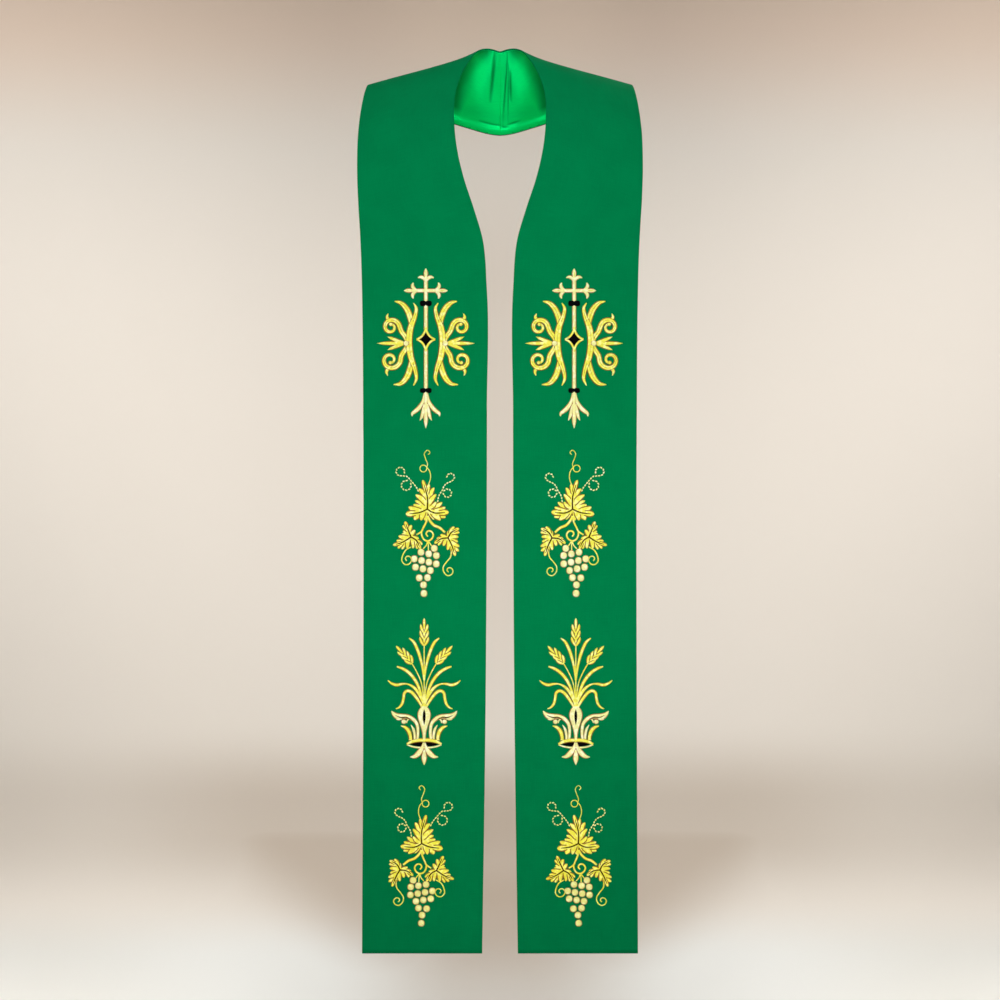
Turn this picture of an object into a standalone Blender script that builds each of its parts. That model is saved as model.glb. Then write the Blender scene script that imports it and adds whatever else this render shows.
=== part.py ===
"""A clerical stole, filled out as it hangs round a wearer's neck, with nobody in it.

Each half is a band of face cloth over a band of lining. The two halves meet at a seam at the
centre of the back. From there each band fans round the neck, lies over the shoulder, comes down
the chest and hangs straight to its square hem.

Frame, in metres: +X is the stole's own right as seen from the front, -Y is the front, +Z is up.
The origin is where the wearer's neck carries it: on the centre plane, level with the shoulder
line beside the neck. "left" and "right" are as seen from the front.
"""

from collections import namedtuple

import bmesh
import bpy
import numpy as np

MM = 0.001

# The cloth.
FACE_WALL = 1.5 * MM  # woven face cloth with its interlining
LINING_WALL = 1.0 * MM  # satin lining
SEAM_GAP = 0.3 * MM  # between the layers, and between the halves at the centre back
LINING_SET_BACK = 1.5 * MM  # the lining stops this far inside the face's folded edges

# The driving sizes of the band.
HALF_GAP_AT_HEM = 21.3 * MM  # from the centre plane to the neck edge, down at the hem
BAND_AT_HEM = 144.3 * MM
BAND_AT_CHEST = 149.6 * MM
DROP = 1071.6 * MM  # from the shoulder line to the hem
CHEST_DEPTH = 107.0 * MM  # from the shoulder line forward to where the bands hang
BACK_DEPTH = 58.0 * MM  # from the shoulder line back to the neck edge at the centre back
COLLAR_DROP = 101.4 * MM  # the height of the centre back seam

# Sections of the right half, from the centre back to the hem, in millimetres. Each has a point
# on the neck edge, a point on the outer edge, and how far the cloth crowns between them.
Section = namedtuple("Section", "name neck_x neck_y neck_z edge_x edge_y edge_z crown")

hem_neck = HALF_GAP_AT_HEM / MM
chest_neck = 15.8
hang = -CHEST_DEPTH / MM
back = BACK_DEPTH / MM
COLLAR_TOP = 11.4
SECTIONS = (
    Section("centre_back", 0.0, back, COLLAR_TOP, 0.0, back + 32.0, COLLAR_TOP - COLLAR_DROP / MM, 2.0),
    Section("back_1", 8.5, 57.2, 13.8, 42.0, 87.3, -80.5, 2.5),
    Section("back_2", 16.0, 54.0, 14.8, 80.0, 78.0, -67.2, 3.0),
    Section("back_3", 22.5, 48.8, 13.8, 112.0, 61.0, -54.0, 2.6),
    Section("back_4", 28.0, 42.0, 10.8, 139.5, 39.0, -41.6, 1.0),
    Section("ridge", 32.8, 34.0, 5.2, 157.6, 14.0, -29.0, 0.2),
    Section("fore_1", 37.8, 24.5, -1.6, 161.8, -4.0, -35.6, 1.6),
    Section("fore_2", 43.2, 13.5, -10.5, 164.6, -19.0, -46.5, 3.2),
    Section("fore_3", 48.3, 0.5, -21.5, 167.0, -34.0, -59.0, 4.0),
    Section("fore_4", 52.4, -15.0, -34.5, 169.0, -49.0, -73.0, 4.0),
    Section("fore_5", 54.8, -33.0, -52.0, 170.7, -64.0, -92.0, 4.0),
    Section("fore_6", 54.6, -53.5, -77.0, 171.5, -78.5, -117.0, 4.0),
    Section("fore_7", 51.0, -72.5, -108.0, 171.2, -90.0, -147.0, 3.5),
    Section("fore_8", 43.0, -88.0, -142.0, 169.8, -97.5, -177.0, 3.0),
    Section("fore_9", 31.5, -98.0, -177.0, 168.0, -102.0, -207.0, 2.5),
    Section("chest", 20.8, -103.5, -214.0, 166.6, -105.0, -238.0, 2.0),
    Section("breast", chest_neck, -106.5, -272.0, chest_neck + BAND_AT_CHEST / MM, hang, -286.0, 2.0),
    Section("waist", 15.6, hang, -420.0, 164.2, hang, -424.0, 2.0),
    Section("knee", 17.4, hang, -790.0, 164.2, hang, -790.0, 2.0),
    Section("hem", hem_neck, hang, -DROP / MM, hem_neck + BAND_AT_HEM / MM, hang, -DROP / MM, 2.0),
)

# How far apart the rings of the loft are, from the centre back: up to this distance, this step.
Stretch = namedtuple("Stretch", "name until step")
STRETCHES = (
    Stretch("creases", 28.0 * MM, 4.0 * MM),
    Stretch("shoulder", 390.0 * MM, 10.0 * MM),
    Stretch("front", None, 62.0 * MM),
)
# Where the columns lie across the band, from the neck edge (0) to the outer edge (1).
COLUMNS = (0.0, 0.09, 0.2, 0.33, 0.46, 0.59, 0.72, 0.83, 0.91, 0.955, 1.0)

# The lining's creases at the centre back, as troughs in the side that faces the neck. Each runs
# between two places (along the band from the seam, across it from the neck edge).
Crease = namedtuple("Crease", "name side along_a across_a along_b across_b half_width depth")
CREASES = (
    Crease("left_of_seam", -1, 5.0 * MM, 0.05, 13.0 * MM, 0.62, 5.5 * MM, 1.6 * MM),
    Crease("right_of_seam", 1, 8.0 * MM, 0.25, 12.0 * MM, 0.62, 5.0 * MM, 1.2 * MM),
    Crease("left_of_roll", -1, 4.0 * MM, 0.885, 22.0 * MM, 0.885, 4.5 * MM, 1.0 * MM),
    Crease("right_of_roll", 1, 3.0 * MM, 0.885, 18.0 * MM, 0.885, 4.5 * MM, 1.0 * MM),
)
# The lining is a little full: it stands off the face on each side of the seam.
PUFF = 2.6 * MM
PUFF_AT = 22.0 * MM
PUFF_REACH = 24.0 * MM
# The soft roll along the collar's lower edge.
ROLL = 0.9 * MM
ROLL_AT = 0.95
ROLL_HALF_WIDTH = 0.06
ROLL_FADES = 75.0 * MM

TANGENT_STEP = 0.5 * MM  # for slopes of the surface


def ease(distance):
    """A smooth bump: 1 at distance 0, 0 at distance 1 and beyond."""
    near = np.clip(1.0 - np.abs(distance), 0.0, 1.0)
    return near * near * (3.0 - 2.0 * near)


class Band:
    """The right half's outer surface, by distance along the band and place across it."""

    def __init__(self):
        self.rows = np.array([section[1:] for section in SECTIONS]) * MM
        mirrored = self.rows[1] * np.array([-1, 1, 1, -1, 1, 1, 1])
        beyond_hem = 2 * self.rows[-1] - self.rows[-2]
        padded = np.vstack([mirrored, self.rows, beyond_hem])
        gaps = np.diff(padded, axis=0)
        neck_gap = np.linalg.norm(gaps[:, 0:3], axis=1)
        edge_gap = np.linalg.norm(gaps[:, 3:6], axis=1)
        lengths = (neck_gap + edge_gap) / 2
        self.knots = np.concatenate([[0.0], np.cumsum(lengths[1:-1])])
        slopes = gaps / lengths[:, None]
        before, after = lengths[:-1, None], lengths[1:, None]
        self.tangents = (slopes[:-1] * after + slopes[1:] * before) / (before + after)
        self.length = float(self.knots[-1])

    def row(self, along):
        """The section at a distance from the centre back, on a smooth curve through the table."""
        mirror = along < 0
        along = abs(along)
        last = len(self.knots) - 2
        i = min(int(np.searchsorted(self.knots, along, side="right")) - 1, last)
        span = self.knots[i + 1] - self.knots[i]
        t = (along - self.knots[i]) / span
        start = (2 * t**3 - 3 * t**2 + 1) * self.rows[i] + (t**3 - 2 * t**2 + t) * span * self.tangents[i]
        end = (3 * t**2 - 2 * t**3) * self.rows[i + 1] + (t**3 - t**2) * span * self.tangents[i + 1]
        row = start + end
        if mirror:
            row[[0, 3]] *= -1
        return row

    def point(self, along, across):
        row = self.row(along)
        neck, edge, crown = row[0:3], row[3:6], row[6]
        ahead, behind = self.row(along + TANGENT_STEP), self.row(along - TANGENT_STEP)
        middle_run = ahead[0:3] + ahead[3:6] - behind[0:3] - behind[3:6]
        out = np.cross(middle_run, edge - neck)
        out /= np.linalg.norm(out)
        return neck + (edge - neck) * across + out * crown * 4 * across * (1 - across)

    def normal(self, along, across):
        """Out of the cloth, away from the wearer."""
        run = self.point(along + TANGENT_STEP, across) - self.point(along - TANGENT_STEP, across)
        low, high = max(across - 0.01, 0.0), min(across + 0.01, 1.0)
        span = self.point(along, high) - self.point(along, low)
        out = np.cross(run, span)
        return out / np.linalg.norm(out)

    def width(self, along):
        row = self.row(along)
        return float(np.linalg.norm(row[3:6] - row[0:3]))


def ring_places(length):
    """Distances of the loft's rings from the centre back, finer where the band bends."""
    places = [0.0]
    for stretch in STRETCHES:
        until = length if stretch.until is None else stretch.until
        count = max(1, round((until - places[-1]) / stretch.step))
        places.extend(np.linspace(places[-1], until, count + 1)[1:])
    return places


def lining_relief(side, along, across, width):
    """How far the lining stands off the face cloth, towards the neck."""
    relief = PUFF * ease((along - PUFF_AT) / PUFF_REACH) * 4 * across * (1 - across)
    relief += ROLL * ease((across - ROLL_AT) / ROLL_HALF_WIDTH) * ease(along / ROLL_FADES)
    for crease in CREASES:
        if crease.side != side:
            continue
        a = np.array([crease.along_a, crease.across_a * width])
        b = np.array([crease.along_b, crease.across_b * width])
        here = np.array([along, across * width])
        share = np.clip(np.dot(here - a, b - a) / np.dot(b - a, b - a), 0.0, 1.0)
        off = np.linalg.norm(here - a - share * (b - a)) / crease.half_width
        relief -= crease.depth * ease(off)
    return max(relief, 0.0)


def wall_rings(band, side, depth, wall, set_back, relief=None):
    """The closed sections of one layer: its outer points, then its inner points back again."""
    rings = []
    shift = np.array([SEAM_GAP / 2, 0.0, 0.0])
    flip = np.array([side, 1.0, 1.0])
    for along in ring_places(band.length - set_back):
        width = band.width(along)
        margin = set_back / width
        outer, inner = [], []
        for column in COLUMNS:
            across = margin + column * (1 - 2 * margin)
            on_face = band.point(along, across)
            out = band.normal(along, across)
            lift = relief(side, along, across, width) if relief else 0.0
            outer.append((on_face - out * (depth + lift) + shift) * flip)
            inner.append((on_face - out * (depth + lift + wall) + shift) * flip)
        rings.append(outer + inner[::-1])
    return rings


def loft(name, rings):
    """A closed mesh through rings of equal count, capped at both ends."""
    mesh = bpy.data.meshes.new(name)
    shell = bmesh.new()
    loops = [[shell.verts.new(point) for point in ring] for ring in rings]
    count = len(rings[0])
    half = count // 2
    for here, ahead in zip(loops, loops[1:]):
        for k in range(count):
            n = (k + 1) % count
            if k < half:  # both layers of a wall are split along the same diagonal
                shell.faces.new((here[k], here[n], ahead[n]))
                shell.faces.new((here[k], ahead[n], ahead[k]))
            else:
                shell.faces.new((here[k], here[n], ahead[k]))
                shell.faces.new((here[n], ahead[n], ahead[k]))
    for end in (loops[0], loops[-1]):
        for k in range(half - 1):
            shell.faces.new((end[k], end[k + 1], end[count - 2 - k], end[count - 1 - k]))
    bmesh.ops.recalc_face_normals(shell, faces=shell.faces)
    shell.to_mesh(mesh)
    shell.free()
    mesh.shade_smooth()
    mesh.set_sharp_from_angle(angle=np.radians(40))
    return mesh


def cloth_material(name, colour, roughness, sheen):
    material = bpy.data.materials.new(name)
    material.use_nodes = True
    shader = material.node_tree.nodes["Principled BSDF"]
    shader.inputs["Base Color"].default_value = (*colour, 1.0)
    shader.inputs["Roughness"].default_value = roughness
    shader.inputs["Metallic"].default_value = 0.0
    shader.inputs["Sheen Weight"].default_value = sheen
    return material


def add_piece(collection, name, mesh, material):
    mesh.materials.append(material)
    piece = bpy.data.objects.new(name, mesh)
    collection.objects.link(piece)
    return piece


def main():
    for old in list(bpy.data.objects):
        bpy.data.objects.remove(old, do_unlink=True)
    collection = bpy.data.collections.new("clerical_stole")
    bpy.context.scene.collection.children.link(collection)
    face_green = cloth_material("face_cloth", (0.0, 0.195, 0.062), 0.85, 0.25)
    lining_green = cloth_material("lining_satin", (0.0, 0.46, 0.10), 0.38, 0.1)
    band = Band()
    for side, where in ((-1, "left"), (1, "right")):
        face = wall_rings(band, side, 0.0, FACE_WALL, 0.0)
        add_piece(collection, f"face_{where}", loft(f"face_{where}", face), face_green)
        depth = FACE_WALL + SEAM_GAP
        lining = wall_rings(band, side, depth, LINING_WALL, LINING_SET_BACK, lining_relief)
        add_piece(collection, f"lining_{where}", loft(f"lining_{where}", lining), lining_green)


main()
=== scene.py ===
"""The looks of the clerical stole: finer sheets of face cloth and satin lining in place of the
frame's solids, and the embroidery sewn through the face, in low relief."""

from collections import namedtuple

import bpy
import numpy as np
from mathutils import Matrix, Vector, noise
from mathutils.bvhtree import BVHTree


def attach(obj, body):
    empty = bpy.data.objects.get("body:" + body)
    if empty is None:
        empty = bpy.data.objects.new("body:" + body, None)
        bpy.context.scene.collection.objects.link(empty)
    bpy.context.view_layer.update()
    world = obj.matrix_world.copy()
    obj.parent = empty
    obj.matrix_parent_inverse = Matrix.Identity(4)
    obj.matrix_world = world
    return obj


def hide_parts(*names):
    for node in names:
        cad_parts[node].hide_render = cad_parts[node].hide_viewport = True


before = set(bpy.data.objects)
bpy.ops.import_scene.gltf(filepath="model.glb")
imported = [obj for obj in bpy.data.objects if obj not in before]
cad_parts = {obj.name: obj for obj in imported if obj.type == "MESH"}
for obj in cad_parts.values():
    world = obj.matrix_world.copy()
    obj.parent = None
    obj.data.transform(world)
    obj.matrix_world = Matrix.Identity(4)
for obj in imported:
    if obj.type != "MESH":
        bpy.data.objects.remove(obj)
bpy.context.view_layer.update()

MM = 0.001
GREEN = (0.0, 0.184, 0.056)
SATIN = (0.0, 0.83, 0.187)
# The pale thread colours paint the glints, and tint the shine too.
GOLD, PALE_GOLD_GLINT, GOLD_OUTLINE = (0.98, 0.92, 0.09), (1.0, 0.98, 0.33), (0.24, 0.075, 0.002)
CREAM, PALE_CREAM_GLINT, CREAM_OUTLINE = (0.99, 0.95, 0.38), (1.0, 0.98, 0.62), (0.45, 0.15, 0.03)
BRONZE, BLACK = (0.07, 0.04, 0.0), (0.003, 0.003, 0.004)
CLOTH_SHINE, SATIN_SHINE = (0.05, 1.0, 0.5, 1.0), (0.03, 1.0, 0.4, 1.0)
# The face cloth's painted shade towards the hem:
HEM_SHADE_TONE, HEM_SHADE_FROM, HEM_SHADE_FULL = 0.84, 820.0, 1110.0  # the face's, in mm along the band
# The threads' warmer tint towards the bottom:
WARM_TINT, WARM_FROM, WARM_FULL = (1.0, 0.97, 0.68, 1.0), -0.83, -0.85  # a tint, and heights in m
THREAD_PITCH, STRAND_PITCH = 0.45, 0.42  # of the weave and of the satin stitch, in mm
# The backdrop: a faint cloud, painted light high and low, and painted shade and shadows.
WALL = (0.73, 0.66, 0.58, 1.0), (0.76, 0.70, 0.63, 1.0)  # in a faint cloud
WALL_HIGH_PAINTED_LIGHT = (0.89, 0.71, 0.57, 1.0), (0.78, 0.62, 0.5, 1.0)  # in the middle, and to the sides
WALL_LOW_PAINTED_LIGHT = (0.76, 0.75, 0.71, 1.0), (0.67, 0.65, 0.6, 1.0)
WALL_SHADE = (0.43, 0.34, 0.26, 1.0)

# ---------------------------------------------------------------- the form of the band

# The right half's sections, from the centre back to the hem, in millimetres, as in the solids:
# a point on the neck edge, a point on the outer edge, and the cloth's crown between them.
Section = namedtuple("Section", "name neck_x neck_y neck_z edge_x edge_y edge_z crown")
SECTIONS = (
    Section("centre_back", 0.0, 58.0, 11.4, 0.0, 90.0, -90.0, 2.0),
    Section("back_1", 8.5, 57.2, 13.8, 42.0, 87.3, -80.5, 2.5),
    Section("back_2", 16.0, 54.0, 14.8, 80.0, 78.0, -67.2, 3.0),
    Section("back_3", 22.5, 48.8, 13.8, 112.0, 61.0, -54.0, 2.6),
    Section("back_4", 28.0, 42.0, 10.8, 139.5, 39.0, -41.6, 1.0),
    Section("ridge", 32.8, 34.0, 5.2, 157.6, 14.0, -29.0, 0.2),
    Section("fore_1", 37.8, 24.5, -1.6, 161.8, -4.0, -35.6, 1.6),
    Section("fore_2", 43.2, 13.5, -10.5, 164.6, -19.0, -46.5, 3.2),
    Section("fore_3", 48.3, 0.5, -21.5, 167.0, -34.0, -59.0, 4.0),
    Section("fore_4", 52.4, -15.0, -34.5, 169.0, -49.0, -73.0, 4.0),
    Section("fore_5", 54.8, -33.0, -52.0, 170.7, -64.0, -92.0, 4.0),
    Section("fore_6", 54.6, -53.5, -77.0, 171.5, -78.5, -117.0, 4.0),
    Section("fore_7", 51.0, -72.5, -108.0, 171.2, -90.0, -147.0, 3.5),
    Section("fore_8", 43.0, -88.0, -142.0, 169.8, -97.5, -177.0, 3.0),
    Section("fore_9", 31.5, -98.0, -177.0, 168.0, -102.0, -207.0, 2.5),
    Section("chest", 20.8, -103.5, -214.0, 166.6, -105.0, -238.0, 2.0),
    Section("breast", 15.8, -106.5, -272.0, 165.4, -107.0, -286.0, 2.0),
    Section("waist", 15.6, -107.0, -420.0, 164.2, -107.0, -424.0, 2.0),
    Section("knee", 17.4, -107.0, -790.0, 164.2, -107.0, -790.0, 2.0),
    Section("hem", 21.3, -107.0, -1071.6, 165.6, -107.0, -1071.6, 2.0),
)
FACE_WALL = 1.5 * MM
LINING_WALL = 1.0 * MM
SEAM_GAP = 0.04 * MM
LINING_SET_BACK = 1.5 * MM


def unit(vectors):
    return vectors / np.linalg.norm(vectors, axis=-1, keepdims=True)


def bump(distance):
    """1 at distance 0, falling smoothly to 0 at distance 1."""
    near = np.clip(1.0 - np.abs(distance), 0.0, 1.0)
    return near * near * (3.0 - 2.0 * near)


def circle(count):
    """Angles round a circle, the last one short of the first."""
    return np.linspace(0.0, 2 * np.pi, count, endpoint=False)


def fade(value, start, end):
    """1 up to start, falling smoothly to 0 at end and beyond."""
    return bump(np.clip((value - start) / (end - start), 0.0, 1.0))


class Band:
    """The right half's outer surface, by distance along the band and place across it."""

    STEP = 0.5 * MM

    def __init__(self):
        self.rows = np.array([section[1:] for section in SECTIONS]) * MM
        mirrored = self.rows[1] * np.array([-1, 1, 1, -1, 1, 1, 1])
        padded = np.vstack([mirrored, self.rows, 2 * self.rows[-1] - self.rows[-2]])
        gaps = np.diff(padded, axis=0)
        ends = np.linalg.norm(gaps[:, 0:3], axis=1), np.linalg.norm(gaps[:, 3:6], axis=1)
        lengths = (ends[0] + ends[1]) / 2
        self.knots = np.concatenate([[0.0], np.cumsum(lengths[1:-1])])
        slopes = gaps / lengths[:, None]
        before, after = lengths[:-1, None], lengths[1:, None]
        self.tangents = (slopes[:-1] * after + slopes[1:] * before) / (before + after)
        self.length = float(self.knots[-1])

    def sections(self, along):
        """The section at each distance from the centre back, on a smooth curve through the table."""
        mirror = along < 0
        along = np.abs(along)
        i = np.clip(np.searchsorted(self.knots, along, side="right") - 1, 0, len(self.knots) - 2)
        span = (self.knots[i + 1] - self.knots[i])[:, None]
        t = (along - self.knots[i])[:, None] / span
        rows, tangents = self.rows, self.tangents
        rows = ((2 * t**3 - 3 * t**2 + 1) * rows[i] + (t**3 - 2 * t**2 + t) * span * tangents[i]
                + ((3 * t**2 - 2 * t**3) * rows[i + 1] + (t**3 - t**2) * span * tangents[i + 1]))
        rows[np.ix_(mirror, [0, 3])] *= -1
        return rows

    def points(self, along, across):
        """Points of the surface. across has a row for each distance along."""
        rows = self.sections(along)
        ahead, behind = self.sections(along + self.STEP), self.sections(along - self.STEP)
        neck, edge, crown = rows[:, 0:3], rows[:, 3:6], rows[:, 6]
        run = ahead[:, 0:3] + ahead[:, 3:6] - behind[:, 0:3] - behind[:, 3:6]
        out = unit(np.cross(run, edge - neck))
        arch = (crown[:, None] * 4 * across * (1 - across))[..., None]
        return neck[:, None] + (edge - neck)[:, None] * across[..., None] + out[:, None] * arch

    def normals(self, along, across):
        """Out of the cloth, away from the wearer."""
        run = self.points(along + self.STEP, across) - self.points(along - self.STEP, across)
        span = self.points(along, across + 0.01) - self.points(along, across - 0.01)
        return unit(np.cross(run, span))

    def widths(self, along):
        rows = self.sections(along)
        return np.linalg.norm(rows[:, 3:6] - rows[:, 0:3], axis=1)


# ---------------------------------------------------------------- materials


class Nodes:
    """Shorthand for building a material's node tree."""

    MIX_SOCKETS, MIX_RESULT = (0, 6, 7), 2  # a Mix node's share, two colours and mixed colour

    def __init__(self, name):
        self.material = bpy.data.materials.new(name)
        self.material.use_nodes = True
        self.tree = self.material.node_tree
        self.shader = self.tree.nodes["Principled BSDF"]

    def add(self, kind, **settings):
        node = self.tree.nodes.new(kind)
        for key, value in settings.items():
            setattr(node, key, value)
        return node

    def feed(self, socket, value):
        if isinstance(value, bpy.types.NodeSocket):
            self.tree.links.new(value, socket)
        else:
            socket.default_value = value

    def math(self, operation, *values):
        node = self.add("ShaderNodeMath", operation=operation)
        for socket, value in zip(node.inputs, values):
            self.feed(socket, value)
        return node.outputs[0]

    def times(self, first, second):
        return self.math("MULTIPLY", first, second)

    def plus(self, first, second):
        return self.math("ADD", first, second)

    def ramp(self, value, low, high, out_low=0.0, out_high=1.0):
        node = self.add("ShaderNodeMapRange", interpolation_type="SMOOTHSTEP")
        for socket, given in zip(node.inputs, (value, low, high, out_low, out_high)):
            self.feed(socket, given)
        return node.outputs[0]

    def mix(self, share, first, second, blend="MIX"):
        node = self.add("ShaderNodeMix", data_type="RGBA", blend_type=blend)
        for socket, given in zip(self.MIX_SOCKETS, (share, first, second)):
            self.feed(node.inputs[socket], given)
        return node.outputs[self.MIX_RESULT]

    def noise(self, vector, scale, detail=2.0, roughness=0.5):
        node = self.add("ShaderNodeTexNoise")
        self.feed(node.inputs["Vector"], vector)
        node.inputs["Scale"].default_value = scale
        node.inputs["Detail"].default_value = detail
        node.inputs["Roughness"].default_value = roughness
        return node.outputs["Fac"]

    def streaks(self, along, along_scale, across, across_scale, seed=0.0):
        """Noise that is stretched more one way than the other."""
        along, across = self.times(along, along_scale), self.times(across, across_scale)
        return self.noise(self.join(along, across, seed), 1.0)

    def wave(self, value, pitch):
        return self.math("SINE", self.times(value, 2 * np.pi / pitch))

    def attribute(self, name):
        return self.add("ShaderNodeAttribute", attribute_name=name).outputs["Vector"]

    def split(self, vector):
        node = self.add("ShaderNodeSeparateXYZ")
        self.feed(node.inputs[0], vector)
        return node.outputs

    def join(self, x, y, z):
        node = self.add("ShaderNodeCombineXYZ")
        for socket, given in zip(node.inputs, (x, y, z)):
            self.feed(socket, given)
        return node.outputs[0]

    def relief(self, height, distance, strength=1.0):
        node = self.add("ShaderNodeBump")
        node.inputs["Strength"].default_value = strength
        node.inputs["Distance"].default_value = distance
        self.feed(node.inputs["Height"], height)
        self.feed(self.shader.inputs["Normal"], node.outputs[0])

    def finish(self, colour, **sockets):
        self.feed(self.shader.inputs["Base Color"], colour)
        for name, value in sockets.items():
            self.shader.inputs[name.replace("_", " ")].default_value = value
        return self.material


def darker(colour, share):
    return tuple(channel * share for channel in colour) + (1.0,)


def face_cloth_material():
    """Matte, fine plain-weave cloth, slightly slubbed, and darkened a little towards the hem by
    painted shade.
    """
    n = Nodes("face_cloth")
    place = n.attribute("weave")
    along, across, _ = n.split(place)
    weave = n.times(n.wave(along, THREAD_PITCH), n.wave(across, THREAD_PITCH))
    slubs = n.plus(n.streaks(along, 0.05, across, 1.3), n.streaks(along, 1.3, across, 0.05, 4.0))
    cloud = n.noise(place, 0.03, detail=3.0)
    tone = n.plus(n.times(slubs, 0.5), n.times(cloud, 0.5))
    colour = n.mix(n.ramp(tone, 0.55, 0.95), darker(GREEN, 0.93), darker(GREEN, 1.06))
    # painted shade: a little darker towards the hem
    hem_shade = n.ramp(along, HEM_SHADE_FROM, HEM_SHADE_FULL, 1.0, HEM_SHADE_TONE)
    colour = n.mix(1.0, colour, n.join(hem_shade, hem_shade, hem_shade), blend="MULTIPLY")
    n.relief(n.plus(n.times(weave, 0.5), slubs), 0.00007, 0.6)
    return n.finish(colour, Roughness=0.88, Specular_IOR_Level=0.12, Specular_Tint=CLOTH_SHINE,
                    Sheen_Weight=0.04, Sheen_Roughness=0.5, Sheen_Tint=CLOTH_SHINE)


def lining_material():
    """Bright green satin: smooth, with faint lines along its floats, and painted shade in its
    hollows.
    """
    n = Nodes("lining_satin")
    place = n.attribute("weave")
    along, across, hollow = n.split(place)
    floats = n.streaks(along, 0.12, across, 2.6)
    cloud = n.noise(place, 0.05, detail=2.0)
    tone = n.plus(n.times(floats, 0.65), n.times(cloud, 0.35))
    colour = n.mix(n.ramp(tone, 0.3, 0.7), darker(SATIN, 0.92), darker(SATIN, 1.05))
    # painted shade: darker in the creases and where the lining turns into the shoulders
    colour = n.mix(hollow, colour, darker(SATIN, 0.32))
    n.relief(floats, 0.00005, 0.35)
    return n.finish(colour, Roughness=0.42, Metallic=0.5, Specular_Tint=SATIN_SHINE)


def thread_material(name, core, pale, rim, rim_width, shine):
    """Satin stitch. stitch.x runs along the row of threads, y across it and z in from its edge, in
    millimetres. Pale patches at random places are painted glints, and the edge is a darker outline
    thread. The threads are tinted warmer towards the bottom, over the lowest ornament."""
    n = Nodes(name)
    row, reach, inset = n.split(n.attribute("stitch"))
    strands = n.streaks(row, 2.4, reach, 0.16)
    lustre = n.mix(n.ramp(strands, 0.32, 0.68), darker(core, 0.84), darker(core, 1.0))
    place = n.add("ShaderNodeTexCoord").outputs["Object"]
    turns = n.noise(place, 240.0, detail=1.0)
    # painted glints: pale patches at random places
    lustre = n.mix(n.ramp(turns, 0.45, 0.65), lustre, darker(pale, 1.0))
    colour = n.mix(n.ramp(inset, rim_width * 0.75, rim_width * 1.1), darker(rim, 1.0), lustre)
    # a warmer tint towards the bottom
    low = n.ramp(n.split(place)[2], WARM_FROM, WARM_FULL)
    colour = n.mix(low, colour, n.mix(1.0, colour, WARM_TINT, blend="MULTIPLY"))
    n.relief(n.plus(n.times(n.wave(row, STRAND_PITCH), 0.5), strands), 0.00012, 0.7)
    return n.finish(colour, Roughness=0.42, Specular_IOR_Level=shine, Specular_Tint=darker(pale, 1.0),
                    Sheen_Weight=0.1 * shine, Sheen_Roughness=0.35, Sheen_Tint=darker(pale, 1.0))


def backdrop_material():
    """A pale warm grey, with painted light and shade: painted light, warmer, at the top; a soft band
    of painted shade low on the wall, which dips towards the hem; painted shadows of the stole round
    the hem and between the bands; and painted light, paler, under them. Heights and distances aside
    are in metres."""
    n = Nodes("backdrop")
    place = n.add("ShaderNodeTexCoord").outputs["Object"]
    grain = n.noise(place, 1.4, detail=3.0)
    x, _, z = n.split(place)
    aside = n.math("ABSOLUTE", x)
    colour = n.mix(grain, *WALL)
    # painted light, warmer, at the top in the middle
    high = n.mix(n.ramp(aside, 0.05, 0.2), *WALL_HIGH_PAINTED_LIGHT)
    colour = n.mix(n.ramp(z, -0.12, 0.06), colour, high)
    # painted light low down in the middle
    low = n.mix(n.ramp(aside, 0.3, 0.55), *WALL_LOW_PAINTED_LIGHT)
    colour = n.mix(n.ramp(z, -1.0, -1.08), colour, low)
    # painted shade: a soft band low on the wall
    band = n.times(n.ramp(z, -1.03, -0.93), n.ramp(z, -0.79, -0.89))
    band = n.times(band, n.ramp(aside, 0.26, 0.52, 0.55, 0.25))
    # painted shadow of the stole round the hem
    painted_shadow = n.plus(n.ramp(z, -0.78, -0.92, 0.0, 0.5), n.ramp(z, -0.95, -1.01, 0.0, 0.3))
    painted_shadow = n.plus(painted_shadow, n.ramp(z, -1.04, -1.14, 0.0, -0.4))
    painted_shadow = n.times(painted_shadow, n.ramp(aside, 0.03, 0.22, 1.0, 0.0))
    # painted shadow whose lower edge dips towards the hem
    dip = n.plus(z, n.ramp(aside, 0.08, 0.34, 0.12, 0.0))
    painted_shadow_funnel = n.times(n.ramp(z, -0.89, -0.94, 0.0, 0.72), n.ramp(dip, -1.04, -0.91))
    painted_shadow_funnel = n.times(painted_shadow_funnel, n.ramp(aside, 0.26, 0.44, 1.0, 0.0))
    # painted shadow between the bands
    between = n.times(n.ramp(z, -0.1, -0.28), n.ramp(z, -0.9, -0.55))
    between = n.times(between, n.ramp(aside, 0.05, 0.18, 0.32, 0.0))
    painted_shadow = n.math("MAXIMUM", painted_shadow, between)
    dark = n.math("MAXIMUM", band, n.plus(painted_shadow, n.times(band, 0.5)))
    dark = n.math("MAXIMUM", dark, painted_shadow_funnel)
    # the painted shade and shadows, in WALL_SHADE
    colour = n.mix(dark, colour, WALL_SHADE)
    return n.finish(colour, Roughness=0.9, Specular_IOR_Level=0.1)


# ---------------------------------------------------------------- the sheets of cloth

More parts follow.
